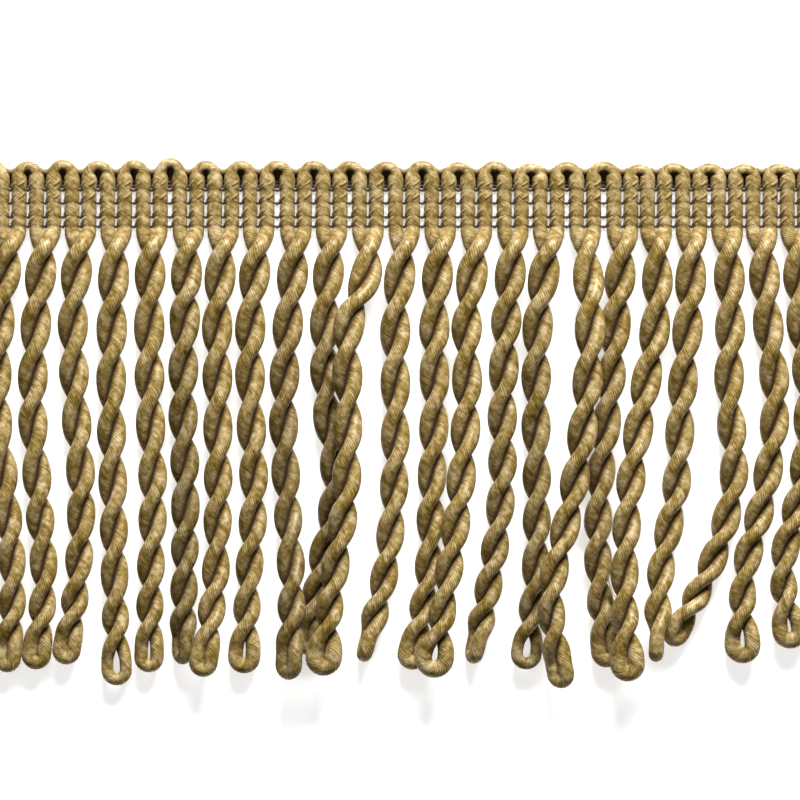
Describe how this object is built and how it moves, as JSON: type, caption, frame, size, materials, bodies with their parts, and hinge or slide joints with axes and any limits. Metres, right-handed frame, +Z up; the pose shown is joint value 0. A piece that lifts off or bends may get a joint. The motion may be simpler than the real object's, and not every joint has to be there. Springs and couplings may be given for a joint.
{
  "type": "bullion cord fringe trim",
  "caption": "A 179 mm cut length of antique-gold rayon bullion fringe: a 14 mm scalloped woven heading of upright cord runs, with 25 twisted two-ply bullions about 6 mm thick and 90 mm long that end in loops.",
  "frame": {"origin": "middle of the bounding box's bottom, on the surface that the trim lies on", "axes": "+X along the trim, +Y from the loops towards the scalloped heading, +Z up, out of the trim's face"},
  "size_m": [0.1816, 0.1058, 0.0118],
  "materials": {
    "heading_gimp": "satin",
    "bullion_gimp": "satin"
  },
  "bodies": {
    "root": {"heading": "heading_gimp", "bullion_fringe": "bullion_gimp"}
  },
  "joints": []
}
